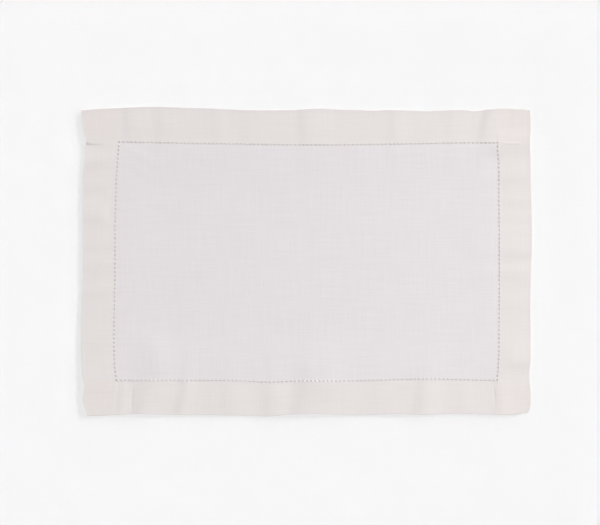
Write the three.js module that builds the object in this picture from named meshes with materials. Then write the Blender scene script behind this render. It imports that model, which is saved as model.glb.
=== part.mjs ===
// Hemstitched linen placemat lying on a table: one rectangle of plain-weave linen with a wide hem turned
// to the back along all four edges, and a line of drawn-thread openings where the hem meets the panel.
// Millimetres. X runs along the long edges, Y along the short edges and Z up from the table.
import * as THREE from "three";

// Driving dimensions
const LENGTH = 482;
const WIDTH = 328;
const LONG_EDGE_HEM = 36.5;
const SHORT_EDGE_HEM = 34.5;
const PANEL_THICKNESS = 1;
const HEM_THICKNESS = 1.8;
const CORNER_THICKNESS = 2.3;
const EDGE_ROUNDING = 0.9;
const OPENINGS_ON_LONG_SIDE = 92;
const OPENINGS_ON_SHORT_SIDE = 57;
const OPENING_LENGTH = 2.6;
const OPENING_FLOOR = 0.3;
const THREAD_BAR_TOP = 1.15;

// Softness of the bends in the cloth
const HEM_SHOULDER = 3.6;
const CORNER_STEP = 6;
const PUCKER_START = 0.05;
const PUCKER_FULL = 0.6;

// Shares of the hem's depth, from the stitch line outwards, at which its upper side is shaped
const HEM_STATIONS = [0.7, 0.35];

// Linen, bleached to a warm white
const LINEN_COLOUR = 0xe6e0df;
const LINEN_ROUGHNESS = 0.9;

// The stitched rectangle between the hems
const STITCH_HALF_X = LENGTH / 2 - SHORT_EDGE_HEM;
const STITCH_HALF_Y = WIDTH / 2 - LONG_EDGE_HEM;

// Sides in the order in which a walk round the mat meets them, anticlockwise from above
const SIDES = [
  { name: "bottom", along: [1, 0], out: [0, -1], openings: OPENINGS_ON_LONG_SIDE },
  { name: "right", along: [0, 1], out: [1, 0], openings: OPENINGS_ON_SHORT_SIDE },
  { name: "top", along: [-1, 0], out: [0, 1], openings: OPENINGS_ON_LONG_SIDE },
  { name: "left", along: [0, -1], out: [-1, 0], openings: OPENINGS_ON_SHORT_SIDE },
];

// Where each outer edge strays from a straight line: the middle of the stretch along the side,
// half its length, and how far the edge stands out there
const EDGE_SWELLS = {
  top: [
    { at: -243, reach: 16, out: -1 },
    { at: -168, reach: 84, out: 3.1 },
    { at: -105, reach: 36, out: 0.8 },
    { at: -45, reach: 40, out: -0.6 },
    { at: 14, reach: 30, out: 1.3 },
    { at: 70, reach: 16, out: -0.9 },
    { at: 130, reach: 48, out: -1.5 },
    { at: 181, reach: 14, out: -1.6 },
    { at: 210, reach: 24, out: 1.2 },
    { at: 243, reach: 10, out: -1 },
  ],
  bottom: [
    { at: -232, reach: 34, out: 1.2 },
    { at: -178, reach: 30, out: -0.6 },
    { at: -82, reach: 44, out: 0.8 },
    { at: -43, reach: 26, out: 1.9 },
    { at: 8, reach: 36, out: -0.8 },
    { at: 94, reach: 28, out: -0.9 },
    { at: 164, reach: 46, out: -1 },
    { at: 245, reach: 24, out: -2.6 },
  ],
  left: [
    { at: 166, reach: 20, out: 1.8 },
    { at: 131, reach: 11, out: -2 },
    { at: 118, reach: 34, out: -2.6 },
    { at: -78, reach: 68, out: 2 },
    { at: -134, reach: 12, out: -2.1 },
    { at: -167, reach: 20, out: -4.6 },
  ],
  right: [
    { at: 166, reach: 14, out: -1 },
    { at: 127, reach: 18, out: -0.9 },
    { at: 34, reach: 68, out: 1.4 },
    { at: -48, reach: 30, out: -0.4 },
    { at: -122, reach: 20, out: -1.7 },
    { at: -168, reach: 12, out: -3.2 },
  ],
};

// The same for each line of openings
const STITCH_SWELLS = {
  top: [
    { at: -200, reach: 90, out: 1.5 },
    { at: 12, reach: 150, out: -1.5 },
    { at: 182, reach: 70, out: 0.8 },
  ],
  bottom: [
    { at: -40, reach: 50, out: 1.8 },
    { at: 30, reach: 60, out: 0.6 },
    { at: 132, reach: 80, out: -1.5 },
  ],
  left: [
    { at: 140, reach: 60, out: -4.4 },
    { at: 88, reach: 56, out: -1.2 },
    { at: -76, reach: 76, out: 1.2 },
    { at: -132, reach: 24, out: -2 },
  ],
  right: [
    { at: 130, reach: 32, out: -1.6 },
    { at: -14, reach: 110, out: 0.6 },
    { at: -130, reach: 34, out: -1.6 },
  ],
};

// Puckers that cross each hem: where the crest stands along the side, how far the cloth takes to fall
// away before and after it, its rise, and how far the crest has moved along the side at the outer edge
const PUCKERS = {
  top: [
    { crest: -189, before: 10, after: 20, rise: 0.5, lean: 0 },
    { crest: -147, before: 16, after: 24, rise: 0.35, lean: 0 },
    { crest: 2, before: 12, after: 34, rise: 0.55, lean: 0 },
    { crest: 96, before: 12, after: 16, rise: 0.4, lean: 0 },
    { crest: 158, before: 14, after: 22, rise: 0.35, lean: 0 },
    { crest: 195, before: 11, after: 22, rise: 0.6, lean: 6 },
  ],
  bottom: [
    { crest: -170, before: 18, after: 22, rise: 0.6, lean: 0 },
    { crest: -130, before: 11, after: 20, rise: 0.5, lean: -5 },
    { crest: -81, before: 16, after: 28, rise: 0.4, lean: 0 },
    { crest: -35, before: 13, after: 13, rise: 0.45, lean: 0 },
    { crest: 6, before: 18, after: 30, rise: 0.6, lean: -10 },
    { crest: 128, before: 12, after: 18, rise: 0.45, lean: -5 },
    { crest: 210, before: 12, after: 14, rise: 0.4, lean: 0 },
  ],
  left: [
    { crest: 111, before: 11, after: 11, rise: 0.5, lean: 0 },
    { crest: 82, before: 11, after: 13, rise: 0.4, lean: 0 },
    { crest: 52, before: 13, after: 15, rise: 0.4, lean: 0 },
    { crest: -80, before: 24, after: 28, rise: 0.35, lean: 0 },
    { crest: -131, before: 15, after: 19, rise: 0.35, lean: 0 },
  ],
  right: [
    { crest: 90, before: 11, after: 19, rise: 0.5, lean: 5 },
    { crest: 67, before: 10, after: 11, rise: 0.35, lean: 0 },
    { crest: 13, before: 13, after: 13, rise: 0.5, lean: 0 },
    { crest: -18, before: 15, after: 15, rise: 0.35, lean: 0 },
    { crest: -95, before: 23, after: 32, rise: 0.45, lean: 0 },
    { crest: -133, before: 15, after: 11, rise: 0.3, lean: 0 },
  ],
};

const { lerp, smoothstep } = THREE.MathUtils;

// Height of a smooth bump: one at its middle, nothing at a distance of one or more
function bump(distance) {
  return 0.5 + 0.5 * Math.cos(Math.PI * Math.min(Math.abs(distance), 1));
}

// How far a side has strayed outwards at a place along it
function stray(swells, along) {
  return swells.reduce((total, row) => total + row.out * bump((along - row.at) / row.reach), 0);
}

// A side's stray between its stitch line, at across 0, and its outer edge, at across 1
function strayAcross(side, along, across) {
  const atStitch = stray(STITCH_SWELLS[side], along);
  const atEdge = stray(EDGE_SWELLS[side], along);
  return lerp(atStitch, atEdge, Math.max(across, 0));
}

// Rise of a hem above its even height, from none at the stitches that hold it to the full pucker further out
function puckerRise(side, along, across) {
  const share = smoothstep(across, PUCKER_START, PUCKER_FULL);
  const rises = PUCKERS[side].map((row) => {
    const distance = along - row.crest - row.lean * across;
    return row.rise * bump(distance / (distance < 0 ? row.before : row.after));
  });
  return share * Math.max(0, ...rises);
}

// How far a coordinate has passed from the panel into the hem beyond a stitch line, as a share
function pastStitches(distance, stitchHalf) {
  return smoothstep(Math.abs(distance), stitchHalf - CORNER_STEP / 2, stitchHalf + CORNER_STEP / 2);
}

// Upper side of the hem, which is thickest in the four corner squares, where two hems lie over each other
function hemTop(station) {
  const inCorner = pastStitches(station.x, STITCH_HALF_X) * pastStitches(station.y, STITCH_HALF_Y);
  const even = lerp(HEM_THICKNESS, CORNER_THICKNESS, inCorner);
  return even + puckerRise(station.side, station.along, station.across);
}

// One loop of points round the mat at a share of the hem's depth, with the same number for each opening
function loop(across, pointsPerOpening, heightOf) {
  const halfX = STITCH_HALF_X + across * SHORT_EDGE_HEM;
  const halfY = STITCH_HALF_Y + across * LONG_EDGE_HEM;
  return SIDES.flatMap((side) => {
    const count = side.openings * pointsPerOpening;
    return Array.from({ length: count }, (_, index) => {
      const share = (2 * index) / count - 1;
      const x = halfX * (side.along[0] * share + side.out[0]);
      const y = halfY * (side.along[1] * share + side.out[1]);
      const along = side.out[0] === 0 ? x : y;
      const station = { x, y, across, along, index, side: side.name };
      const strayX = strayAcross(x > 0 ? "right" : "left", y, across);
      const strayY = strayAcross(y > 0 ? "top" : "bottom", x, across);
      return new THREE.Vector3(x + (strayX * x) / halfX, y + (strayY * y) / halfY, heightOf(station));
    });
  });
}

// Loops from the underside, round the folded edge, up over the hem and down to the panel
function clothLoops() {
  const rim = 1 - EDGE_ROUNDING / LONG_EDGE_HEM;
  const shoulder = HEM_SHOULDER / LONG_EDGE_HEM;
  const openingEdge = OPENING_LENGTH / 2 / LONG_EDGE_HEM;
  const barOrOpening = (station) => (station.index % 2 === 0 ? THREAD_BAR_TOP : OPENING_FLOOR);
  return [
    loop(rim, 1, () => 0),
    loop(1, 1, (station) => hemTop(station) / 2),
    ...[rim, ...HEM_STATIONS, shoulder].map((across) => loop(across, 1, hemTop)),
    loop(openingEdge, 1, () => (HEM_THICKNESS + PANEL_THICKNESS) / 2),
    loop(0, 2, barOrOpening),
    loop(-openingEdge, 1, () => PANEL_THICKNESS),
  ];
}

// Triangles between two neighbouring loops, where either may have twice the other's points
function band(outer, outerStart, inner, innerStart) {
  const segments = Math.min(outer.length, inner.length);
  const outerAt = (step) => outerStart + ((step * outer.length) / segments) % outer.length;
  const innerAt = (step) => innerStart + ((step * inner.length) / segments) % inner.length;
  return Array.from({ length: segments }, (_, i) => {
    if (outer.length > inner.length) {
      return [
        [outerAt(i), outerAt(i + 0.5), innerAt(i)],
        [outerAt(i + 0.5), innerAt(i + 1), innerAt(i)],
        [outerAt(i + 0.5), outerAt(i + 1), innerAt(i + 1)],
      ];
    }
    if (inner.length > outer.length) {
      return [
        [outerAt(i), innerAt(i + 0.5), innerAt(i)],
        [outerAt(i), outerAt(i + 1), innerAt(i + 0.5)],
        [outerAt(i + 1), innerAt(i + 1), innerAt(i + 0.5)],
      ];
    }
    return [
      [outerAt(i), outerAt(i + 1), innerAt(i + 1)],
      [outerAt(i), innerAt(i + 1), innerAt(i)],
    ];
  }).flat(2);
}

// Flat face inside a loop
function cap(points, start, facesDown) {
  const outline = points.map((point) => new THREE.Vector2(point.x, point.y));
  const triangles = THREE.ShapeUtils.triangulateShape(outline, []);
  const turned = triangles.map(([a, b, c]) => (facesDown ? [c, b, a] : [a, b, c]));
  return turned.flat().map((corner) => start + corner);
}

// The whole mat as one closed skin: the flat underside, the bands between the loops, and the flat panel
function clothGeometry() {
  const loops = clothLoops();
  const starts = loops.map((_, row) => loops.slice(0, row).flat().length);
  const last = loops.length - 1;
  const bands = loops.slice(1).flatMap((inner, row) => band(loops[row], starts[row], inner, starts[row + 1]));
  const geometry = new THREE.BufferGeometry().setFromPoints(loops.flat());
  geometry.setIndex([...cap(loops[0], starts[0], true), ...bands, ...cap(loops[last], starts[last], false)]);
  geometry.computeBoundingBox();
  const middle = geometry.boundingBox.getCenter(new THREE.Vector3());
  geometry.translate(-middle.x, -middle.y, 0);
  geometry.computeVertexNormals();
  return geometry;
}

const linen = new THREE.MeshStandardMaterial({
  color: LINEN_COLOUR,
  roughness: LINEN_ROUGHNESS,
  metalness: 0,
});

const cloth = new THREE.Mesh(clothGeometry(), linen);
cloth.name = "placemat";

const placemat = new THREE.Group();
placemat.add(cloth);

export default placemat;
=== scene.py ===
"""Looks of a hemstitched linen placemat lying on a pale studio floor.

The mat is one cut of plain-weave linen, folded the way a maker folds it: each hem goes to the back round
a soft outer fold, runs in to the hemstitch line and turns its raw edge inside. Along that line the parallel
threads are drawn out, and the crossing threads that stay are gathered into bars by the sewing thread.
Sizes are in millimetres until a mesh is made, and meshes are in metres.
"""

import logging
import math
from dataclasses import dataclass, field
from enum import Enum
from typing import Any

import bpy
import numpy as np
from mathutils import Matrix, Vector


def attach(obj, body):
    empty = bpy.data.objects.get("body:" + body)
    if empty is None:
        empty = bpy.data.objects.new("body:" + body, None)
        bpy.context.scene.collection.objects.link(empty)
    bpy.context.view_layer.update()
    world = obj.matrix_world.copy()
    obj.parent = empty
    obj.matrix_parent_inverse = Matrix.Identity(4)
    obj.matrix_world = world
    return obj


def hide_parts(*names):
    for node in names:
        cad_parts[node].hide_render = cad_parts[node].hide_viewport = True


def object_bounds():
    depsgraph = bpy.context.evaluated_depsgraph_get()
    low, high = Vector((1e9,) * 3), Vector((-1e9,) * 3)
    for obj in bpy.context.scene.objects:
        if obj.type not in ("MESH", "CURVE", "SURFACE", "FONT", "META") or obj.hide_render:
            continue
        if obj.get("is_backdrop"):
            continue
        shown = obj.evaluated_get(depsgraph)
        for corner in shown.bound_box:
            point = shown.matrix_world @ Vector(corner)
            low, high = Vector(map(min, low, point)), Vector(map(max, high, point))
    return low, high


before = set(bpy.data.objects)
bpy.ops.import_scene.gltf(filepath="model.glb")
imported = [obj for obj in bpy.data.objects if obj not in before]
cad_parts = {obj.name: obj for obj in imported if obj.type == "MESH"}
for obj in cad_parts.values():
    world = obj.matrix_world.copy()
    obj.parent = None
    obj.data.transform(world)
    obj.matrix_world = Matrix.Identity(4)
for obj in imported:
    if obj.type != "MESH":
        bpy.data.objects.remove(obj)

LOG = logging.getLogger("placemat")
Array = np.ndarray

MM = 0.001
CAD_NODE = "placemat"
BODY = "root"

FLAT_MAP = "flat_cloth"
BAKE_MAP = "OFBake"
HEM_SHARE = "hem_share"
STRAND_TONE = "strand_tone"

# Colour sockets of a mix node, which share their names with its other sockets
MIX_A, MIX_B, MIX_COLOUR = 6, 7, 2
# A thread's section is a square that smooth shading rounds
SECTION_CORNERS = 4
UP = np.array([0.0, 0.0, 1.0])


class Side(Enum):
    """A side of the mat: the axis that it faces along, 0 for X and 1 for Y, and the way that it faces."""

    TOP = (1, 1)
    BOTTOM = (1, -1)
    LEFT = (0, -1)
    RIGHT = (0, 1)

    @property
    def axis(self) -> int:
        """Axis that the side's hem faces along."""
        return self.value[0]

    @property
    def sign(self) -> int:
        """Way that the side's hem faces along its axis."""
        return self.value[1]


@dataclass(frozen=True)
class Swell:
    """An edge's stray: the middle of its stretch along the side, half its length and how far out it goes."""

    at: float
    reach: float
    out: float


@dataclass(frozen=True)
class Pucker:
    """A ridge across a hem: its crest along the side, its fall before and after, its rise and its lean.

    The lean is how far the crest has moved along the side by the outer edge, and held is the share of the
    rise at the stitches. Below zero the pucker dies away before it reaches them. Where the foot is pinned,
    the line on which the rise starts stays put while the crest leans, and the pucker rides on the others.
    """

    crest: float
    before: float
    after: float
    rise: float
    lean: float = 0.0
    held: float = 0.7
    pinned: bool = False


@dataclass(frozen=True)
class Crease:
    """A line pressed into the cloth: its middle, half its length and width, its direction and its rise.

    A negative rise is a trough that squeezes the layers of a hem together. The skew is how many times wider
    the crease is on its right, seen along its direction.
    """

    x: float
    y: float
    half_length: float
    half_width: float
    degrees: float
    rise: float
    skew: float = 1.0


EDGE_SWELLS = {
    Side.TOP: (
        Swell(-243, 16, -1.0),
        Swell(-168, 84, 3.1),
        Swell(-105, 36, 0.8),
        Swell(-45, 40, -0.6),
        Swell(14, 30, 1.3),
        Swell(70, 16, -0.9),
        Swell(130, 48, -1.5),
        Swell(181, 14, -1.6),
        Swell(210, 24, 1.2),
        Swell(243, 10, -1.0),
    ),
    Side.BOTTOM: (
        Swell(-232, 34, 1.2),
        Swell(-178, 30, -0.6),
        Swell(-82, 44, 0.8),
        Swell(-43, 26, 1.9),
        Swell(8, 36, -0.8),
        Swell(94, 28, -0.9),
        Swell(164, 46, -1.0),
        Swell(245, 24, -2.6),
    ),
    Side.LEFT: (
        Swell(166, 20, 1.8),
        Swell(131, 11, -2.0),
        Swell(118, 34, -2.6),
        Swell(-78, 68, 2.0),
        Swell(-134, 12, -2.1),
        Swell(-167, 20, -4.6),
    ),
    Side.RIGHT: (
        Swell(166, 14, -1.0),
        Swell(127, 18, -0.9),
        Swell(34, 68, 1.4),
        Swell(-48, 30, -0.4),
        Swell(-122, 20, -1.7),
        Swell(-168, 12, -3.2),
    ),
}

STITCH_SWELLS = {
    Side.TOP: (Swell(-200, 90, 1.5), Swell(12, 150, -1.5), Swell(182, 70, 0.8)),
    Side.BOTTOM: (Swell(-40, 50, 1.8), Swell(30, 60, 0.6), Swell(132, 80, -1.5)),
    Side.LEFT: (
        Swell(140, 60, -4.4),
        Swell(88, 56, -1.2),
        Swell(-76, 76, 1.2),
        Swell(-132, 24, -2.0),
    ),
    Side.RIGHT: (Swell(130, 32, -1.6), Swell(-14, 110, 0.6), Swell(-130, 34, -1.6)),
}

PUCKERS = {
    Side.TOP: (
        Pucker(-194, 10, 30, 0.6),
        Pucker(-157, 14, 25, 0.4),
        Pucker(-96, 13, 13, 0.3),
        Pucker(-63, 13, 32, 0.22),
        Pucker(0, 13, 34, 0.72),
        Pucker(96, 11, 16, 0.5),
        Pucker(158, 13, 23, 0.35),
        Pucker(192, 9, 24, 1.15, 5, 0.55),
    ),
    Side.BOTTOM: (
        Pucker(-199, 7, 7, 0.4),
        Pucker(-162, 27, 30, 1.45, -16, 0.9, True),
        Pucker(-130, 10, 16, 0.8, -5, 1.0),
        Pucker(-81, 15, 27, 0.5),
        Pucker(-36, 16, 23, 0.8),
        Pucker(3, 21, 58, 1.3, -5, 1.15),
        Pucker(25, 32, 36, 0.05, -25, 17.0, True),
        Pucker(82, 15, 23, 0.3),
        Pucker(131, 15, 25, 1.0, -6, 0.8),
        Pucker(170, 9, 13, 0.2),
        Pucker(210, 12, 14, 0.35),
    ),
    Side.LEFT: (
        Pucker(111, 11, 11, 0.45, -5, 0.3),
        Pucker(82, 11, 13, 0.26, 0, -0.3),
        Pucker(50, 13, 24, 0.55, 0, -0.5),
        Pucker(19, 9, 13, 0.17),
        Pucker(-1, 15, 11, 0.25),
        Pucker(-30, 13, 11, 0.2),
        Pucker(-84, 20, 28, 0.28),
        Pucker(-131, 15, 19, 0.28),
    ),
    Side.RIGHT: (
        Pucker(127, 19, 17, 0.7, 4),
        Pucker(89, 11, 19, 0.45, 6),
        Pucker(67, 9, 10, 0.2),
        Pucker(48, 7, 9, 0.15),
        Pucker(32, 8, 9, 0.36, 0, 0.3),
        Pucker(13, 13, 34, 0.55),
        Pucker(-10, 20, 9, 0.38),
        Pucker(-43, 13, 11, 0.2),
        Pucker(-106, 13, 32, 0.65, 0, 0.3),
        Pucker(-133, 15, 11, 0.2),
    ),
}

CREASES = (
    # Ends of the hems that lie over each other in the corners
    Crease(-238, 125, 22, 1.1, -5, -0.45, 6),
    Crease(-243, 125.6, 9, 2.0, -5, -0.7, 3),
    Crease(221, 127.4, 14, 1.2, 0, 0.25),
    Crease(202.7, -143, 18, 1.4, 90, -0.25),
    Crease(-189, -147, 20, 1.8, 90, -0.4),
    # Waves and drag lines in the panel
    Crease(-160, -98, 36, 16, 95, 0.6),
    Crease(-180, 112, 34, 5, -28, 0.2),
    Crease(-184, 101, 32, 5, -32, 0.16),
    Crease(3, -114, 14, 5, 80, 0.3),
    Crease(206, 122, 18, 40, -45, 0.5, 0.2),
    # The lifted tip of a corner
    Crease(250, 172, 60, 34, -45, 1.2),
)


def bump(distance: Array) -> Array:
    """Smooth hump: half of one plus the cosine, one in the middle and nothing from a distance of one on."""
    return 0.5 + 0.5 * np.cos(np.pi * np.clip(np.abs(distance), 0.0, 1.0))


def ease(value: Array, low: float, high: float) -> Array:
    """Smooth step from 0 at low to 1 at high: three squares less two cubes of the share between."""
    share = np.clip((value - low) / (high - low), 0.0, 1.0)
    return share * share * (3.0 - 2.0 * share)


def linear(hex_colour: str) -> tuple[float, float, float, float]:
    """Turns an sRGB hex colour into linear light.

    Args:
        hex_colour: six hex digits, red first.

    Returns:
        Linear red, green and blue, and full opacity.
    """
    parts = np.array([int(hex_colour[i : i + 2], 16) for i in (0, 2, 4)]) / 255.0
    light = np.where(parts <= 0.04045, parts / 12.92, ((parts + 0.055) / 1.055) ** 2.4)
    return (*light.tolist(), 1.0)


@dataclass(frozen=True)
class MatForm:
    """How the mat lies on the table: its sizes, the stray of its edges and the height of its upper face."""

    length: float = 482.0
    width: float = 328.0
    end_hem: float = 34.5
    long_hem: float = 36.5
    cloth: float = 0.26
    hem_stack: float = 0.72
    corner_stack: float = 1.15
    corner_pinch: float = 0.34
    end_channel: float = 1.5
    long_channel: float = 1.25
    settle: float = 60.0
    # Shares of a hem's full depth at its stitches and at its outer fold
    stitched_share: float = 0.85
    pressed_share: float = 0.8
    # Shares of a hem's width where it has its full depth
    full_from: float = 0.45
    full_to: float = 0.55
    # How far the layers in a corner blend into those beside it
    pinch_blend: float = 4.0
    overlap_inner: float = 14.0
    overlap_outer: float = 8.0
    tone_blend: float = 1.0
    hem_tone: float = 0.6
    # Share of a pucker's lift in the panel, and the hem widths over which it dies away
    panel_share: float = 0.45
    panel_fade: float = 1.5
    # Share of a hem's width over which the stitches hold a pucker down
    grip: float = 0.5
    # Depths of layers from which a crease can be pressed in, and the least share of them that stays
    thin_stack: float = 0.2
    thick_stack: float = 0.6
    least_press: float = 0.1
    edge_lift: float = 0.3
    end_openings: int = 57
    long_openings: int = 92

    @property
    def mat_half(self) -> tuple[float, float]:
        """Half the finished size along X and Y."""
        return self.length / 2, self.width / 2

    @property
    def stitch_half(self) -> tuple[float, float]:
        """Half the size of the stitched rectangle along X and Y."""
        return self.length / 2 - self.end_hem, self.width / 2 - self.long_hem

    @property
    def drawn_half(self) -> tuple[float, float]:
        """Half the width of the drawn line beside the end hems and beside the long hems."""
        return self.end_channel / 2, self.long_channel / 2

    def openings(self, side: Side) -> int:
        """Number of drawn-thread openings along a side."""
        return self.end_openings if side.axis == 0 else self.long_openings

    def across(self, side: Side, x: Array, y: Array) -> Array:
        """Share of a side's hem at a place: 0 on its stitch line, 1 on its outer edge, negative inside."""
        stitch = self.stitch_half[side.axis]
        return (side.sign * (x, y)[side.axis] - stitch) / (self.mat_half[side.axis] - stitch)

    def stray(self, side: Side, x: Array, y: Array) -> Array:
        """Outward stray of a side at a place.

        The swells of the stitch line blend into those of the edge across the hem. Inside the panel the
        stitch line's stray fades evenly to nothing at the mat's middle.

        Args:
            side: the side whose swells count.
            x: places along X.
            y: places along Y.

        Returns:
            Stray in millimetres, outwards.
        """
        along = (y, x)[side.axis]
        at_stitch = sum(row.out * bump((along - row.at) / row.reach) for row in STITCH_SWELLS[side])
        at_edge = sum(row.out * bump((along - row.at) / row.reach) for row in EDGE_SWELLS[side])
        share = np.clip(self.across(side, x, y), 0.0, 1.0)
        inside = np.clip(side.sign * (x, y)[side.axis] / self.stitch_half[side.axis], 0.0, 1.0)
        return inside * (at_stitch + (at_edge - at_stitch) * share)

    def place(self, x: Array, y: Array) -> tuple[Array, Array]:
        """Moves places on the true rectangle to where the uneven mat has them.

        Args:
            x: places along X.
            y: places along Y.

        Returns:
            Moved places along X and along Y.
        """
        moved = [x, y]
        for side in Side:
            moved[side.axis] = moved[side.axis] + side.sign * self.stray(side, x, y)
        return moved[0], moved[1]

    def loft(self, axis: int, value: Array) -> Array:
        """Share of its full depth that a hem has at a place across it.

        It climbs from nothing in the panel to the stitched share at the stitch line and to the whole
        depth inside the hem, and falls to the pressed share at the outer fold.

        Args:
            axis: 0 for the end hems, 1 for the long hems.
            value: places along that axis.

        Returns:
            Share of the depth from front to back layer.
        """
        beyond = np.abs(value) - self.stitch_half[axis]
        hem = self.mat_half[axis] - self.stitch_half[axis]
        climb = self.stitched_share * ease(beyond, -self.settle, self.drawn_half[axis])
        fill = (1.0 - self.stitched_share) * ease(beyond, self.drawn_half[axis], self.full_from * hem)
        return climb + fill - (1.0 - self.pressed_share) * ease(beyond, self.full_to * hem, hem)

    def end_layers(self, y: Array) -> Array:
        """Depth of an end hem from front to back layer, pinched where the long hems fold over it."""
        in_corner = ease(np.abs(y) - self.stitch_half[1], -self.pinch_blend, self.pinch_blend)
        return self.hem_stack + (self.corner_pinch - self.hem_stack) * in_corner

    def long_layers(self, x: Array) -> Array:
        """Depth of a long hem from front to back layer, which grows where it holds the end hem's layers."""
        in_corner = ease(np.abs(x) - self.stitch_half[0], -self.overlap_inner, self.overlap_outer)
        return self.hem_stack + (self.corner_stack - self.hem_stack) * in_corner

    def stack(self, x: Array, y: Array) -> Array:
        """Height of the front layer over the lowest one, from none in the panel to most in the corners."""
        over_long = self.loft(1, y)
        return self.long_layers(x) * over_long + self.end_layers(y) * self.loft(0, x) * (1.0 - over_long)

    def layered(self, x: Array, y: Array) -> Array:
        """How much the doubled cloth shows in its tone: nothing in the panel, all in a corner."""
        in_x, in_y = (
            ease(np.abs(value) - half, -self.tone_blend, self.tone_blend)
            for value, half in zip((x, y), self.stitch_half, strict=True)
        )
        return self.hem_tone * np.maximum(in_x, in_y) + (1.0 - self.hem_tone) * in_x * in_y

    def pucker_lift(self, side: Side, x: Array, y: Array) -> Array:
        """Lift of a side's puckers.

        Each is a hump along the side with its own fall before and after the crest. At a place the highest
        one counts, plus the pinned ones, and the stitches hold part of it down. Across the drawn line it
        falls to the panel's share, which dies away inside the panel.

        Args:
            side: the side whose puckers count.
            x: places along X.
            y: places along Y.

        Returns:
            Lift in millimetres.
        """
        along = (y, x)[side.axis]
        across = self.across(side, x, y)
        highest, riding = np.zeros_like(along), np.zeros_like(along)
        for row in PUCKERS[side]:
            lean = row.lean * (np.clip(across, 0.0, 1.0) if row.pinned else across)
            distance = along - row.crest - lean
            fall = np.where(distance < 0.0, row.before + row.pinned * lean, row.after)
            free = ease(across, 0.0, 1.0 if row.pinned else self.grip)
            lift = row.rise * (row.held + (1.0 - row.held) * free) * bump(distance / fall)
            if row.pinned:
                riding = riding + lift
            else:
                highest = np.maximum(highest, lift)
        line = self.drawn_half[side.axis] / (self.mat_half[side.axis] - self.stitch_half[side.axis])
        inside = self.panel_share * ease(across, -self.panel_fade, 0.0)
        return (highest + riding) * (inside + (1.0 - inside) * ease(across, -line, line))

    def crease_depth(self, x: Array, y: Array, sign: int) -> Array:
        """Sum of the creases that rise or that sink at a place.

        A crease is its rise times a bell across its width times a hump along its length.

        Args:
            x: places along X.
            y: places along Y.
            sign: 1 for ridges, -1 for troughs.

        Returns:
            Height in millimetres, negative for troughs.
        """
        total = np.zeros_like(x)
        for row in (row for row in CREASES if row.rise * sign > 0.0):
            angle = math.radians(row.degrees)
            along = (x - row.x) * math.cos(angle) + (y - row.y) * math.sin(angle)
            aside = (y - row.y) * math.cos(angle) - (x - row.x) * math.sin(angle)
            width = row.half_width * np.where(aside < 0.0, row.skew, 1.0)
            total = total + row.rise * np.exp(-((aside / width) ** 2)) * bump(along / row.half_length)
        return total

    def lift(self, x: Array, y: Array) -> Array:
        """Height of the lowest layer over the table: puckers, ridges and the slight spring of the edges.

        The spring grows with the cube of the share of the hem.

        Args:
            x: places along X.
            y: places along Y.

        Returns:
            Height in millimetres.
        """
        total = self.crease_depth(x, y, 1)
        for side in Side:
            spring = self.edge_lift * np.clip(self.across(side, x, y), 0.0, 1.0) ** 3
            total = total + self.pucker_lift(side, x, y) + spring
        return total

    def press(self, x: Array, y: Array) -> Array:
        """Share of their depth that the layers keep where a trough is pressed into the hem.

        Args:
            x: places along X.
            y: places along Y.

        Returns:
            One less the trough's share of the depth, from the least share up.
        """
        stack = self.stack(x, y)
        pressed = ease(stack, self.thin_stack, self.thick_stack) / np.maximum(stack, self.thick_stack)
        return np.maximum(1.0 + self.crease_depth(x, y, -1) * pressed, self.least_press)

    def front(self, x: Array, y: Array) -> Array:
        """Height of the middle of the front layer."""
        return self.cloth / 2 + self.lift(x, y) + self.stack(x, y) * self.press(x, y)

    def surface(self, x: Array, y: Array) -> Array:
        """Points of the front layer over places on the true rectangle."""
        placed = self.place(x, y)
        return np.stack([placed[0], placed[1], self.front(x, y)], axis=-1)

    def beside_stitches(self, side: Side, along: Array, offset: Array) -> tuple[Array, Array]:
        """Places at a distance along a side and at an offset outwards from its stitch line."""
        along, outward = np.broadcast_arrays(along, side.sign * (self.stitch_half[side.axis] + offset))
        return (outward, along) if side.axis == 0 else (along, outward)


def make_mesh(name: str, points: Array, quads: Array) -> bpy.types.Object:
    """Makes a smooth mesh object at the origin from whole arrays.

    Args:
        name: name of the piece.
        points: places in metres, one row each.
        quads: four point numbers a row, anticlockwise from outside.

    Returns:
        The new object, linked to the scene.
    """
    mesh = bpy.data.meshes.new(name)
    mesh.vertices.add(len(points))
    mesh.vertices.foreach_set("co", points.astype(np.float32).ravel())
    mesh.loops.add(quads.size)
    mesh.loops.foreach_set("vertex_index", quads.astype(np.int32).ravel())
    mesh.polygons.add(len(quads))
    mesh.polygons.foreach_set("loop_start", np.arange(0, quads.size, 4, dtype=np.int32))
    mesh.polygons.foreach_set("use_smooth", np.ones(len(quads), dtype=bool))
    mesh.update(calc_edges=True)
    piece = bpy.data.objects.new(name, mesh)
    bpy.context.scene.collection.objects.link(piece)
    return piece


def grid_cells(shape: tuple[int, int]) -> Array:
    """Point numbers of a grid's cells, as rows by columns by four, anticlockwise where rows follow X."""
    number = np.arange(shape[0] * shape[1]).reshape(shape)
    return np.stack([number[:-1, :-1], number[1:, :-1], number[1:, 1:], number[:-1, 1:]], axis=-1)


def add_map(piece: bpy.types.Object, name: str, places: Array) -> None:
    """Gives a piece a UV map.

    Args:
        piece: a mesh object.
        name: name of the map.
        places: one place for each of its points.
    """
    mesh = piece.data
    corners = np.empty(len(mesh.loops), dtype=np.int32)
    mesh.loops.foreach_get("vertex_index", corners)
    mesh.uv_layers.new(name=name).uv.foreach_set("vector", places[corners].astype(np.float32).ravel())


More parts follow.
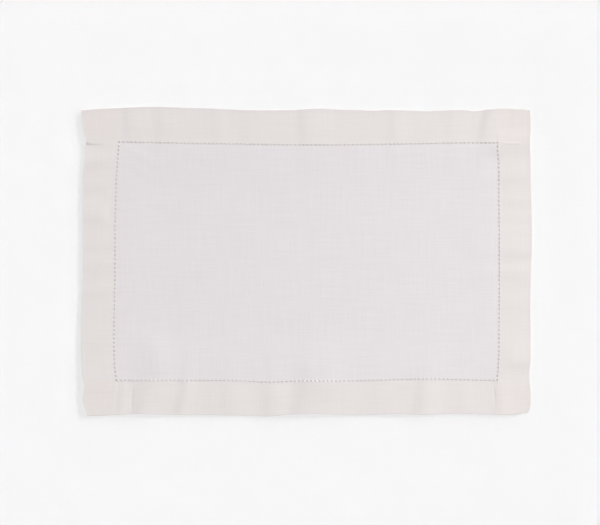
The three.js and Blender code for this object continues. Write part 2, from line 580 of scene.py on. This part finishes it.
def add_values(piece: bpy.types.Object, name: str, values: Array) -> None:
    """Gives a piece a number for each of its points."""
    attribute = piece.data.attributes.new(name, "FLOAT", "POINT")
    attribute.data.foreach_set("value", values.astype(np.float32).ravel())


def threads(
    paths: Array, square_to: Array, radius: float, closed: bool, flatness: float = 1.0
) -> tuple[Array, Array]:
    """Round threads carried along many paths at once.

    At each point of a path the section's corners are the point plus the radius times the cosine of a
    quarter turn along one normal and the sine times the flatness along the other. The first normal is
    square to the path and to square_to, and the second is square to both.

    Args:
        paths: places, as threads by points by three.
        square_to: a direction that no path follows, which broadcasts against paths.
        radius: half the thread's thickness.
        closed: True where each path ends where it starts.
        flatness: height of the section as a share of its width.

    Returns:
        Points, one row each, and quads of point numbers.
    """
    count, steps, _ = paths.shape
    if closed:
        tangent = np.roll(paths, -1, axis=1) - np.roll(paths, 1, axis=1)
    else:
        tangent = np.gradient(paths, axis=1)
    tangent = tangent / np.linalg.norm(tangent, axis=-1, keepdims=True)
    first = np.cross(np.broadcast_to(square_to, paths.shape), tangent)
    first = first / np.linalg.norm(first, axis=-1, keepdims=True)
    second = np.cross(tangent, first)
    turn = np.arange(SECTION_CORNERS) * 2 * math.pi / SECTION_CORNERS
    ring = np.cos(turn)[:, None] * first[:, :, None] + flatness * np.sin(turn)[:, None] * second[:, :, None]
    points = paths[:, :, None] + radius * ring
    number = np.arange(count * steps * SECTION_CORNERS).reshape(count, steps, SECTION_CORNERS)
    ahead = np.roll(number, -1, axis=1) if closed else number[:, 1:]
    here = number if closed else number[:, :-1]
    walls = np.stack([here, np.roll(here, -1, axis=2), np.roll(ahead, -1, axis=2), ahead], axis=-1)
    quads = [walls.reshape(-1, 4)]
    if not closed:
        quads += [number[:, 0, ::-1], number[:, -1]]
    return points.reshape(-1, 3), np.concatenate(quads)


@dataclass(frozen=True)
class FoldRun:
    """A walk along one axis of the cut cloth, from raw edge to raw edge, with a hem folded at each end.

    flat is the place on the cut cloth, plan the place over the table without the folds' roundness, bulge
    what that roundness adds as a share of half the layers' depth, drop the depth under the front layer as
    a share of that depth, and upward the cosine of the cloth's turn, 1 where its front faces up.
    turned_in marks the raw edge's strip.
    """

    flat: Array
    plan: Array
    bulge: Array
    drop: Array
    upward: Array
    turned_in: Array


@dataclass
class LinenCloth:
    """The cut of linen, with its panel, its folded hems and the open line where threads are drawn out."""

    form: MatForm
    turn_in: float = 8.0
    seam_gap: float = 0.8
    trim: float = 4.0
    panel_step: float = 2.75
    hem_step: float = 2.25
    snap: float = 0.125
    # Distances of the last grid lines before the outer fold
    fold_lines: tuple[float, float] = (0.5, 1.2)
    # A crease narrower than this, and turned from a grid line by less, has close lines over it
    sharp_width: float = 3.0
    sharp_degrees: float = 10.0
    crease_lines: int = 9
    back_steps: int = 9
    fold_steps: int = 6
    turn_steps: int = 4
    shift: Array = field(default_factory=lambda: np.zeros(3))

    def fold_at(self, axis: int) -> float:
        """Place where the front of a hem starts to turn under."""
        return self.form.mat_half[axis] - self.form.hem_stack * self.form.pressed_share / 2

    def under_walk(self, axis: int) -> FoldRun:
        """Walk from the outer fold under the hem to the raw edge, on the positive side of an axis.

        The outer fold is a half turn, pressed so that its depth is the square of a round one's. The back
        runs straight in to the stitch line, and a tighter half turn leads the raw edge back out between
        the layers.

        Args:
            axis: 0 for the end hems, 1 for the long hems.

        Returns:
            The walk after the point where the front starts to turn under.
        """
        form = self.form
        fold_at = self.fold_at(axis)
        inner = form.stitch_half[axis] + form.drawn_half[axis] + self.seam_gap
        turn = np.linspace(0.0, math.pi, self.fold_steps + 1)[1:]
        back = np.linspace(fold_at, inner, self.back_steps)[1:]
        tuck = np.linspace(0.0, math.pi, self.turn_steps + 1)[1:]
        raw = inner + np.linspace(0.0, self.turn_in, self.turn_steps)[1:]
        still = np.zeros_like
        plan = np.concatenate([fold_at + still(turn), back, inner + still(tuck), raw])
        bulge = np.concatenate([np.sin(turn), still(back), -np.sin(tuck) / 2, still(raw)])
        under_tuck = 1 - (1 - np.cos(tuck)) / 4
        pressed = ((1 - np.cos(turn)) / 2) ** 2
        drop = np.concatenate([pressed, 1 + still(back), under_tuck, 0.5 + still(raw)])
        upward = np.concatenate([np.cos(turn), still(back) - 1, -np.cos(tuck), 1 + still(raw)])
        depth = form.hem_stack * form.pressed_share
        outward = np.concatenate([[fold_at], plan + bulge * depth / 2])
        steps = np.hypot(np.diff(outward), np.diff(np.concatenate([[0.0], drop])) * depth)
        turned_in = np.arange(len(plan)) >= len(turn) + len(back)
        return FoldRun(fold_at + np.cumsum(steps), plan, bulge, drop, upward, turned_in)

    def front_stops(self, axis: int) -> Array:
        """Places of the grid lines over the front, from one outer fold to the other.

        Even steps cover panel and hem, with lines on both edges of the drawn line and close beside them,
        close lines at the outer fold and close lines over each sharp crease that runs along them.

        Args:
            axis: 0 for lines along X, 1 for lines along Y.

        Returns:
            Rising places on the true rectangle.
        """
        form = self.form
        fold_at = self.fold_at(axis)
        stitch = form.stitch_half[axis]
        half = form.drawn_half[axis]
        hem = np.arange(stitch + half, fold_at, self.hem_step)
        beside = np.array([-half - self.snap, -half, 0.0, half + self.snap])
        edges = np.concatenate([stitch + beside, hem, fold_at - np.array(self.fold_lines)])
        lines = []
        for row in CREASES:
            if row.half_width < self.sharp_width and abs(row.degrees - (90, 0)[axis]) < self.sharp_degrees:
                spread = row.half_width * np.linspace(-2.0, 2.0, self.crease_lines)
                lines.append((row.x, row.y)[axis] + spread)
        stops = np.concatenate([np.arange(0.0, stitch - half, self.panel_step), edges])
        stops = np.concatenate([-stops, stops, *lines])
        stops = np.unique(np.round(stops / self.snap)) * self.snap
        stops = stops[np.abs(stops) < fold_at - self.snap / 2]
        return np.concatenate([[-fold_at], stops, [fold_at]])

    def walk(self, axis: int) -> FoldRun:
        """Joins the front's walk with a hem's under side at each end of it.

        Args:
            axis: 0 for the walk along X, 1 for the walk along Y.

        Returns:
            The walk from raw edge to raw edge.
        """
        under = self.under_walk(axis)
        front = self.front_stops(axis)
        still = np.zeros_like(front)
        return FoldRun(
            flat=np.concatenate([-under.flat[::-1], front, under.flat]),
            plan=np.concatenate([-under.plan[::-1], front, under.plan]),
            bulge=np.concatenate([-under.bulge[::-1], still, under.bulge]),
            drop=np.concatenate([under.drop[::-1], still, under.drop]),
            upward=np.concatenate([under.upward[::-1], still + 1, under.upward]),
            turned_in=np.concatenate([under.turned_in[::-1], still > 0, under.turned_in]),
        )

    def lay(self, along_x: FoldRun, along_y: FoldRun) -> tuple[Array, Array, Array]:
        """Folds the end hems first and the long hems over them.

        A point keeps its place along X with the end fold's roundness. The long fold then turns it about
        the middle of the long hem's layers, at a radius less by its depth in the end hem. Its height is
        the front layer's, less its depth under that, squeezed where a crease is pressed in.

        Args:
            along_x: walk along the long direction.
            along_y: walk along the short direction.

        Returns:
            Points as X walk by Y walk by three, and the true places along X and Y.
        """
        form = self.form
        end_depth = form.end_layers(along_y.plan)[None, :] * form.loft(0, along_x.plan)[:, None]
        long_depth = form.long_layers(along_x.plan)[:, None] * form.loft(1, along_y.plan)[None, :]
        depth_in_end = along_x.drop[:, None] * end_depth
        x = along_x.plan[:, None] + along_x.bulge[:, None] * end_depth / 2
        y = along_y.plan[None, :] + along_y.bulge[None, :] * (long_depth / 2 - depth_in_end)
        under = along_y.drop[None, :] * long_depth + along_y.upward[None, :] * depth_in_end
        points = form.surface(x, y)
        points[..., 2] -= under * form.press(x, y)
        return points, x, y

    def kept_cells(self, along_x: FoldRun, along_y: FoldRun) -> Array:
        """Marks the grid's cells that are cloth.

        The line between panel and hem is open, up to where it meets the line of the next side. The raw
        edge's strip is trimmed away in the corners, where it would make the folds too thick.

        Args:
            along_x: walk along the long direction.
            along_y: walk along the short direction.

        Returns:
            True for each kept cell, as X walk by Y walk.
        """
        form = self.form
        strip, beyond = [], []
        for axis, run in enumerate((along_x, along_y)):
            strip.append(run.turned_in[1:] | run.turned_in[:-1])
            beyond.append(np.abs(run.plan[1:] + run.plan[:-1]) / 2 - form.stitch_half[axis])
        halves = form.drawn_half
        opens = [np.abs(distance) < half for distance, half in zip(beyond, halves, strict=True)]
        within = [distance < half for distance, half in zip(beyond, halves, strict=True)]
        clear = [distance < -self.trim for distance in beyond]
        drawn = opens[0][:, None] & within[1][None, :] | within[0][:, None] & opens[1][None, :]
        trimmed = strip[0][:, None] & ~clear[1][None, :] | ~clear[0][:, None] & strip[1][None, :]
        return ~(drawn | trimmed)

    def cut_size(self) -> tuple[float, float]:
        """Length and width of the cut before folding, in millimetres."""
        return 2 * self.under_walk(0).flat[-1], 2 * self.under_walk(1).flat[-1]

    def build(self, cad_middle: Vector) -> bpy.types.Object:
        """Builds the folded sheet and keeps the shift that centres it on the frame's box.

        Args:
            cad_middle: middle of the frame's box in metres.

        Returns:
            The cloth, thickened about its middle surface.
        """
        form = self.form
        along_x, along_y = self.walk(0), self.walk(1)
        points, x, y = self.lay(along_x, along_y)
        flat_points = points.reshape(-1, 3)
        middle = (flat_points.min(axis=0) + flat_points.max(axis=0)) / 2
        self.shift = np.array([cad_middle.x / MM - middle[0], cad_middle.y / MM - middle[1], 0.0])
        kept = grid_cells(points.shape[:2])[self.kept_cells(along_x, along_y)]
        used, quads = np.unique(kept, return_inverse=True)
        cloth = make_mesh("linen_cloth", (flat_points[used] + self.shift) * MM, quads.reshape(-1, 4))
        flat = np.stack(np.meshgrid(along_x.flat, along_y.flat, indexing="ij"), axis=-1).reshape(-1, 2)
        add_map(cloth, FLAT_MAP, flat[used] * MM)
        add_map(cloth, BAKE_MAP, flat[used] / np.array(self.cut_size()) + 0.5)
        add_values(cloth, HEM_SHARE, form.layered(x, y).reshape(-1)[used])
        solidify = cloth.modifiers.new("cloth_thickness", "SOLIDIFY")
        solidify.thickness = form.cloth * MM
        solidify.offset = 0.0
        return cloth


@dataclass
class ThreadBars:
    """The crossing threads that stay in the drawn line, gathered into one bar between two openings."""

    form: MatForm
    yarns: int = 6
    yarn: float = 0.56
    flatness: float = 0.28
    waist: float = 1.15
    foot: float = 1.4
    root: float = 0.7
    crown: float = 0.14
    steps: int = 4
    seed: int = 11

    def centres(self, side: Side) -> Array:
        """Places of a side's bars from its middle, half a pitch in from the corners."""
        half, count = self.form.stitch_half[1 - side.axis], self.form.openings(side)
        return (np.arange(count) + 0.5) * (2 * half / count) - half

    def half_width(self, side: Side, offset: Array) -> Array:
        """Half a bar's width: its waist plus the square of the share of the way to its foot."""
        share = np.clip(np.abs(offset) / self.form.drawn_half[side.axis], 0.0, 1.0)
        return self.waist + (self.foot - self.waist) * share**2

    def paths(self, side: Side) -> Array:
        """Middle lines of a side's yarns, which draw in to the waist and crown in the middle of the bar.

        The crown falls off with the square of the share of the way to the bar's side and to its end.

        Args:
            side: side of the mat.

        Returns:
            Places, as yarns by points by three.
        """
        reach = self.form.drawn_half[side.axis] + self.root
        offset = np.linspace(-reach, reach, self.steps)
        lane = np.linspace(-1.0, 1.0, self.yarns)[None, :, None]
        along = self.centres(side)[:, None, None] + lane * self.half_width(side, offset)
        points = self.form.surface(*self.form.beside_stitches(side, along, offset))
        points[..., 2] += self.crown * (1.0 - lane**2) * (1.0 - (offset / reach) ** 2)
        return points.reshape(-1, self.steps, 3)

    def build(self, shift: Array) -> bpy.types.Object:
        """Builds all bars as one joined mesh, each yarn with a tone of its own.

        Args:
            shift: how far the mat is moved to the middle of the frame's box.

        Returns:
            The bars.
        """
        paths = np.concatenate([self.paths(side) for side in Side])
        points, quads = threads(paths, UP, self.yarn / 2, closed=False, flatness=self.flatness)
        bars = make_mesh("drawn_thread_bars", (points + shift) * MM, quads)
        tone = np.random.default_rng(self.seed).random(len(paths))
        add_values(bars, STRAND_TONE, np.repeat(tone, self.steps * SECTION_CORNERS))
        return bars


@dataclass
class HemStitching:
    """The sewing thread: a wrap round each end of a bar, a bite into the cloth and a run to the next bar."""

    form: MatForm
    bars: ThreadBars
    thread: float = 0.2
    wrap_height: float = 0.2
    wrap_steps: int = 10
    run_steps: int = 4
    bite: float = 0.9
    # Heights of a bite over the cloth from start to end, as shares of half the thread
    bite_heights: tuple[float, float, float] = (0.6, 0.0, -1.0)
    seed: int = 23

    def wraps(self, side: Side, edge: int) -> tuple[Array, Array]:
        """Loops round the bars at one edge of the drawn line.

        A loop is an ellipse square to the bar, a thread wider than the bar there.

        Args:
            side: side of the mat.
            edge: 1 at the hem, -1 at the panel.

        Returns:
            Middle lines of the loops, and the direction of the bars for each.
        """
        offset = np.array(edge * (self.form.drawn_half[side.axis] - self.thread))
        centres = self.bars.centres(side)
        turn = np.arange(self.wrap_steps) * 2 * math.pi / self.wrap_steps
        half = self.bars.half_width(side, offset) + self.bars.yarn / 2
        along = centres[:, None] + half * np.cos(turn)
        points = self.form.surface(*self.form.beside_stitches(side, along, offset))
        middle = self.form.surface(*self.form.beside_stitches(side, centres[:, None], offset))
        points[..., 2] = middle[..., 2] + self.bars.crown / 2 + self.wrap_height * np.sin(turn)
        outward = np.zeros(3)
        outward[side.axis] = side.sign
        return points, np.broadcast_to(outward, points.shape)

    def runs(self, side: Side, edge: int) -> Array:
        """Threads from bar to bar along one edge of the drawn line, lying behind the cloth.

        Args:
            side: side of the mat.
            edge: 1 at the hem, -1 at the panel.

        Returns:
            Middle lines, as threads by points by three.
        """
        offset = np.array(edge * (self.form.drawn_half[side.axis] + self.thread / 2))
        centres = self.bars.centres(side)
        share = np.linspace(0.0, 1.0, self.run_steps)
        along = centres[:-1, None] + np.diff(centres)[:, None] * share
        points = self.form.surface(*self.form.beside_stitches(side, along, offset))
        points[..., 2] -= self.form.cloth / 2 + self.thread / 4
        return points

    def bites(self, side: Side, edge: int) -> Array:
        """Short stitches from each bar's foot into the cloth beside it.

        Args:
            side: side of the mat.
            edge: 1 at the hem, -1 at the panel.

        Returns:
            Middle lines, as threads by points by three.
        """
        reach = self.form.drawn_half[side.axis] + np.linspace(0.0, self.bite, len(self.bite_heights))
        centres = self.bars.centres(side)[:, None]
        points = self.form.surface(*self.form.beside_stitches(side, centres, edge * reach))
        points[..., 2] += self.form.cloth / 2 + np.array(self.bite_heights) * self.thread / 2
        return points

    def build(self, shift: Array) -> bpy.types.Object:
        """Builds the whole sewing as one joined mesh, each stitch with a tone of its own.

        Args:
            shift: how far the mat is moved to the middle of the frame's box.

        Returns:
            The sewing.
        """
        groups, repeats = [], []
        for side in Side:
            for edge in (1, -1):
                wraps, square_to = self.wraps(side, edge)
                runs, bites = self.runs(side, edge), self.bites(side, edge)
                groups.append(threads(wraps, square_to, self.thread / 2, closed=True))
                groups += [threads(paths, UP, self.thread / 2, closed=False) for paths in (runs, bites)]
                for paths in (wraps, runs, bites):
                    repeats.append(np.full(len(paths), SECTION_CORNERS * paths.shape[1]))
        starts = np.cumsum([0] + [len(points) for points, _ in groups[:-1]])
        points = np.concatenate([points for points, _ in groups])
        quads = np.concatenate([quads + start for start, (_, quads) in zip(starts, groups, strict=True)])
        sewing = make_mesh("hemstitch_thread", (points + shift) * MM, quads)
        points_each = np.concatenate(repeats)
        tone = np.random.default_rng(self.seed).random(len(points_each))
        add_values(sewing, STRAND_TONE, np.repeat(tone, points_each))
        return sewing


def add_node(
    material: Any, kind: str, inputs: dict[str | int, Any], out: str | int = 0, **settings: Any
) -> bpy.types.NodeSocket | None:
    """Adds a shader node with its settings and its inputs.

    Args:
        material: a material or a world that uses nodes.
        kind: the node's type, without ShaderNode in front of it.
        inputs: sockets by name or number, each given a value or linked from another socket.
        out: the output that is wanted, by name or number.
        settings: properties of the node.

    Returns:
        The wanted output, or None where the node has none.
    """
    node = material.node_tree.nodes.new(f"ShaderNode{kind}")
    for name, value in settings.items():
        setattr(node, name, value)
    for name, value in inputs.items():
        if isinstance(value, bpy.types.NodeSocket):
            material.node_tree.links.new(value, node.inputs[name])
        else:
            node.inputs[name].default_value = value
    return node.outputs[out] if len(node.outputs) else None


def new_material(name: str) -> bpy.types.Material:
    """Makes an empty material that uses nodes.

    Args:
        name: the real material and how its surface was made.

    Returns:
        The new material.
    """
    material = bpy.data.materials.new(name)
    material.use_nodes = True
    material.node_tree.nodes.clear()
    return material


@dataclass(frozen=True)
class PlainWeaveLinen:
    """Bleached linen in plain weave, washed and pressed.

    Its flax yarns are uneven, so the eye meets faint streaks of thicker yarn along both directions over a
    fine checked grain, on a matt surface with a slight bloom. Doubled in the hem it looks a little warmer.
    """

    name: str = "linen, plain woven and pressed"
    panel_light: str = "EAE5E6"
    panel_shade: str = "E3DEE0"
    hem_light: str = "EBE4E3"
    hem_shade: str = "E6DFDB"
    # Real yarns lie about 0.7 mm apart. They are drawn at 1.25 mm so that they show.
    yarn_pitch: float = 1.25
    wander_length: float = 9.0
    wander_share: float = 0.4
    slub_length: float = 45.0
    slub_width: float = 1.6
    mottle: float = 30.0
    # What weave and mottle add to the slubs, and the sums that give the shade and the light
    weave_share: float = 0.35
    mottle_share: float = 0.4
    shade_sum: float = 0.75
    light_sum: float = 2.0
    relief: float = 0.07
    slub_relief: float = 0.5
    shade_roughness: float = 0.96
    light_roughness: float = 0.88

    def build(self) -> bpy.types.Material:
        """Builds the material on the map of the flat cloth, so that the yarns follow every fold.

        Returns:
            The new material.
        """
        material = new_material(self.name)
        pitch = self.yarn_pitch * MM
        flat = add_node(material, "UVMap", {}, "UV", uv_map=FLAT_MAP)
        noise = {"Vector": flat, "Scale": 1.0 / (self.wander_length * MM), "Detail": 1.0}
        wander = add_node(material, "TexNoise", noise, "Color", noise_dimensions="2D")
        moved = {0: wander, 1: (self.wander_share * pitch,) * 3, 2: flat}
        drift = add_node(material, "VectorMath", moved, operation="MULTIPLY_ADD")
        # A wave texture repeats after a tenth of pi
        bands = {"Vector": drift, "Scale": math.pi / 10.0 / pitch}
        warp = add_node(material, "TexWave", bands, "Fac", bands_direction="X")
        weft = add_node(material, "TexWave", bands, "Fac", bands_direction="Y")
        over = add_node(material, "TexChecker", {"Vector": drift, "Scale": 1.0 / pitch}, "Fac")
        weave = add_node(material, "Mix", {"Factor": over, "A": warp, "B": weft})
        slubs = []
        for length, width in ((self.slub_length, self.slub_width), (self.slub_width, self.slub_length)):
            scaled = {0: flat, 1: (1.0 / (length * MM), 1.0 / (width * MM), 1.0)}
            stretched = add_node(material, "VectorMath", scaled, operation="MULTIPLY")
            noise = {"Vector": stretched, "Scale": 1.0, "Detail": 2.0}
            slubs.append(add_node(material, "TexNoise", noise, "Fac", noise_dimensions="2D"))
        slub = add_node(material, "Math", {0: slubs[0], 1: slubs[1]}, operation="ADD")
        noise = {"Vector": flat, "Scale": 1.0 / (self.mottle * MM), "Detail": 2.0}
        mottle = add_node(material, "TexNoise", noise, "Fac", noise_dimensions="2D")
        grain = slub
        for part, share in ((weave, self.weave_share), (mottle, self.mottle_share)):
            grain = add_node(material, "Math", {0: part, 1: share, 2: grain}, operation="MULTIPLY_ADD")
        span = {"Value": grain, "From Min": self.shade_sum, "From Max": self.light_sum}
        tone = add_node(material, "MapRange", {**span, "To Min": 0.0, "To Max": 1.0})
        dulled = {**span, "To Min": self.shade_roughness, "To Max": self.light_roughness}
        rough = add_node(material, "MapRange", dulled)
        colours = []
        for shade, light in ((self.panel_shade, self.panel_light), (self.hem_shade, self.hem_light)):
            mixed = {"Factor": tone, MIX_A: linear(shade), MIX_B: linear(light)}
            colours.append(add_node(material, "Mix", mixed, MIX_COLOUR, data_type="RGBA"))
        layered = add_node(material, "Attribute", {}, "Fac", attribute_name=HEM_SHARE)
        mixed = {"Factor": layered, MIX_A: colours[0], MIX_B: colours[1]}
        colour = add_node(material, "Mix", mixed, MIX_COLOUR, data_type="RGBA")
        height = {0: slub, 1: self.slub_relief, 2: weave}
        relief = add_node(material, "Math", height, operation="MULTIPLY_ADD")
        raised = add_node(material, "Bump", {"Height": relief, "Strength": 0.6, "Distance": self.relief * MM})
        surface = {
            "Base Color": colour,
            "Roughness": rough,
            "Normal": raised,
            "IOR": 1.45,
            "Specular IOR Level": 0.25,
            "Sheen Weight": 0.12,
            "Sheen Roughness": 0.5,
        }
        add_node(material, "OutputMaterial", {"Surface": add_node(material, "BsdfPrincipled", surface)})
        return material


@dataclass(frozen=True)
class SpunThread:
    """Flax yarn or sewing thread, spun and bleached. Its colours are set paler than the cloth's, as painted
    light against the shade that falls between and under its small strands.

    Its twist and hairs blur the light, so a strand looks matt and each differs a little from the next.
    """

    name: str
    light: str
    shade: str
    fleck: float
    fleck_share: float = 0.6
    shade_sum: float = 0.2
    light_sum: float = 1.4
    relief: float = 0.05
    roughness: float = 0.85

    def build(self) -> bpy.types.Material:
        """Builds the material from each strand's own tone and a fine fleck along it.

        Returns:
            The new material.
        """
        material = new_material(self.name)
        tone = add_node(material, "Attribute", {}, "Fac", attribute_name=STRAND_TONE)
        place = add_node(material, "TexCoord", {}, "Object")
        noise = {"Vector": place, "Scale": 1.0 / (self.fleck * MM), "Detail": 2.0}
        fleck = add_node(material, "TexNoise", noise, "Fac")
        parts = {0: fleck, 1: self.fleck_share, 2: tone}
        flecked = add_node(material, "Math", parts, operation="MULTIPLY_ADD")
        span = {"From Min": self.shade_sum, "From Max": self.light_sum, "To Min": 0.0, "To Max": 1.0}
        share = add_node(material, "MapRange", {"Value": flecked, **span})
        mixed = {"Factor": share, MIX_A: linear(self.shade), MIX_B: linear(self.light)}
        colour = add_node(material, "Mix", mixed, MIX_COLOUR, data_type="RGBA")
        raised = add_node(material, "Bump", {"Height": fleck, "Strength": 0.5, "Distance": self.relief * MM})
        surface = {
            "Base Color": colour,
            "Roughness": self.roughness,
            "Normal": raised,
            "IOR": 1.45,
            "Specular IOR Level": 0.25,
        }
        add_node(material, "OutputMaterial", {"Surface": add_node(material, "BsdfPrincipled", surface)})
        return material


@dataclass(frozen=True)
class StudioPaper:
    """Matt white background paper, rolled smooth, which shows only soft shadows and a faint cloudiness."""

    name: str = "studio paper, matt white"
    light: str = "F6F6F6"
    shade: str = "F4F4F4"
    cloud: float = 60.0

    def build(self) -> bpy.types.Material:
        """Builds the paper from two close whites in soft clouds.

        Returns:
            The new material.
        """
        material = new_material(self.name)
        place = add_node(material, "TexCoord", {}, "Object")
        noise = {"Vector": place, "Scale": 1.0 / (self.cloud * MM), "Detail": 2.0}
        cloud = add_node(material, "TexNoise", noise, "Fac")
        mixed = {"Factor": cloud, MIX_A: linear(self.shade), MIX_B: linear(self.light)}
        colour = add_node(material, "Mix", mixed, MIX_COLOUR, data_type="RGBA")
        surface = {"Base Color": colour, "Roughness": 1.0, "Specular IOR Level": 0.0}
        add_node(material, "OutputMaterial", {"Surface": add_node(material, "BsdfPrincipled", surface)})
        return material


@dataclass(frozen=True)
class Sun:
    """A distant lamp: its strength and, in degrees, its disc, its azimuth from +X and its elevation."""

    name: str
    strength: float
    disc: float
    azimuth: float
    elevation: float
    casts: bool = True

    def add(self) -> bpy.types.Object:
        """Adds the lamp, turned so that its light comes from its azimuth and elevation.

        Returns:
            The lamp.
        """
        data = bpy.data.lights.new(self.name, "SUN")
        data.energy = self.strength
        data.angle = math.radians(self.disc)
        data.use_shadow = self.casts
        lamp = bpy.data.objects.new(self.name, data)
        lamp.rotation_euler = (math.radians(90.0 - self.elevation), 0.0, math.radians(90.0 + self.azimuth))
        bpy.context.scene.collection.objects.link(lamp)
        return lamp


def light_only(lamp: bpy.types.Object, pieces: list[bpy.types.Object]) -> None:
    """Lets a lamp light some pieces and nothing else.

    Args:
        lamp: the lamp.
        pieces: what it lights.
    """
    lit = bpy.data.collections.new(f"{lamp.name}_lit")
    for piece in pieces:
        lit.objects.link(piece)
    lamp.light_linking.receiver_collection = lit


@dataclass
class Studio:
    """Pale floor, soft light from the upper right and a camera straight above, as in the photograph."""

    photo_width_px: int = 600
    mm_per_px: float = 1.0771
    # How far the middle of the picture lies from the middle of the mat
    middle_x: float = -7.3
    middle_y: float = -0.5
    lens: float = 85.0
    sensor: float = 36.0
    floor_half: float = 4000.0
    cover_margin: float = 24.0
    key: Sun = Sun("key", 2.5, 45.0, 55.0, 30.0)
    # Grazing light that only the floor receives, for the soft shadow beside the mat
    graze: Sun = Sun("graze", 3.06, 16.0, 31.0, 9.0)
    # Fill that only the floor receives, without shadows, so that the mat's foot has no hard dark line
    fill: Sun = Sun("fill", 1.2, 10.0, 0.0, 90.0, casts=False)
    # Light through the thin linen, for the floor that the mat covers
    seep: Sun = Sun("seep", 0.6, 10.0, 0.0, 90.0, casts=False)
    sky_strength: float = 0.50
    side_power: float = 1.8
    side_place: tuple[float, float, float] = (900.0, 100.0, 700.0)
    side_size: float = 300.0

    def add_camera(self, shift: Array) -> None:
        """Hangs the camera over the picture's middle, at the height where the picture's width just fits.

        Args:
            shift: how far the mat is moved to the middle of the frame's box.
        """
        data = bpy.data.cameras.new("camera")
        data.lens = self.lens
        data.sensor_width = self.sensor
        camera = bpy.data.objects.new("camera", data)
        height = self.photo_width_px * self.mm_per_px * self.lens / self.sensor
        camera.location = ((self.middle_x + shift[0]) * MM, (self.middle_y + shift[1]) * MM, height * MM)
        bpy.context.scene.collection.objects.link(camera)
        bpy.context.scene.camera = camera

    def add_floor(self, form: MatForm) -> tuple[bpy.types.Object, bpy.types.Object]:
        """Lays the paper at the height of the table, as three by three cells.

        The middle cell lies under the mat and is a piece of its own, so that the fill misses it and the
        openings of the drawn line look into shade.

        Args:
            form: the mat's form, for the size of the covered cell.

        Returns:
            The open floor round the mat, and the covered floor.
        """
        covered = np.array(form.mat_half) - self.cover_margin
        lines = [np.array([-self.floor_half, -half, half, self.floor_half]) * MM for half in covered]
        x, y = np.meshgrid(*lines, indexing="ij")
        points = np.stack([x, y, np.zeros_like(x)], axis=-1).reshape(-1, 3)
        cells = grid_cells(x.shape).reshape(-1, 4)
        middle = len(cells) // 2
        paper = StudioPaper().build()
        floor = make_mesh("floor", points, np.delete(cells, middle, axis=0))
        shaded = make_mesh("floor_under_mat", points[cells[middle]], np.arange(4)[None, :])
        for part in (floor, shaded):
            part.data.materials.append(paper)
            part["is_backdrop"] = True
        return floor, shaded

    def add_light(self, form: MatForm, pieces: list[bpy.types.Object]) -> None:
        """Sets the floor under an even sky, a wide sun and a weak lamp for the mat, and suns for the floor.

        Args:
            form: the mat's form.
            pieces: the mat's pieces.
        """
        scene = bpy.context.scene
        scene.view_settings.view_transform = "Standard"
        light_only(self.key.add(), pieces)
        floor, covered = self.add_floor(form)
        light_only(self.graze.add(), [floor, covered])
        light_only(self.fill.add(), [floor])
        light_only(self.seep.add(), [covered])
        side = bpy.data.lights.new("side", "AREA")
        side.energy = self.side_power
        side.size = self.side_size * MM
        lamp = bpy.data.objects.new("side", side)
        lamp.location = Vector(self.side_place) * MM
        lamp.rotation_euler = (-lamp.location).to_track_quat("-Z", "Y").to_euler()
        scene.collection.objects.link(lamp)
        light_only(lamp, pieces)
        world = bpy.data.worlds.new("studio")
        world.use_nodes = True
        world.node_tree.nodes.clear()
        sky = add_node(world, "Background", {"Color": (1.0, 1.0, 1.0, 1.0), "Strength": self.sky_strength})
        add_node(world, "OutputWorld", {"Surface": sky})
        scene.world = world


def dress(piece: bpy.types.Object, material: bpy.types.Material) -> None:
    """Gives a piece its material and its body, and reports it.

    Args:
        piece: a piece of the mat.
        material: its finish.
    """
    piece.data.materials.append(material)
    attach(piece, BODY)
    LOG.info("%s: %d points, %d faces", piece.name, len(piece.data.vertices), len(piece.data.polygons))


def main() -> None:
    """Builds the cloth, its drawn threads and its sewing, and sets them in the studio."""
    logging.basicConfig(level=logging.INFO, format="%(name)s: %(message)s")
    cad_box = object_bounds()
    form = MatForm()
    linen = LinenCloth(form)
    cloth = linen.build((cad_box[0] + cad_box[1]) / 2)
    thread_bars = ThreadBars(form)
    bars = thread_bars.build(linen.shift)
    sewing = HemStitching(form, thread_bars).build(linen.shift)
    dress(cloth, PlainWeaveLinen().build())
    # Bars and sewing thread get colours painted paler than the cloth's, against the shade among their small
    # strands
    dress(bars, SpunThread("flax yarn, painted paler against its shade", "F8F3F1", "F0EAE7", 0.6).build())
    dress(sewing, SpunThread("sewing thread, spun linen", "FAF6F4", "F2EDEA", 0.4).build())
    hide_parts(CAD_NODE)
    length, width = linen.cut_size()
    LOG.info("cut cloth: %.0f by %.0f mm", length, width)
    studio = Studio()
    studio.add_camera(linen.shift)
    studio.add_light(form, [cloth, bars, sewing])


if __name__ == "__main__":
    main()
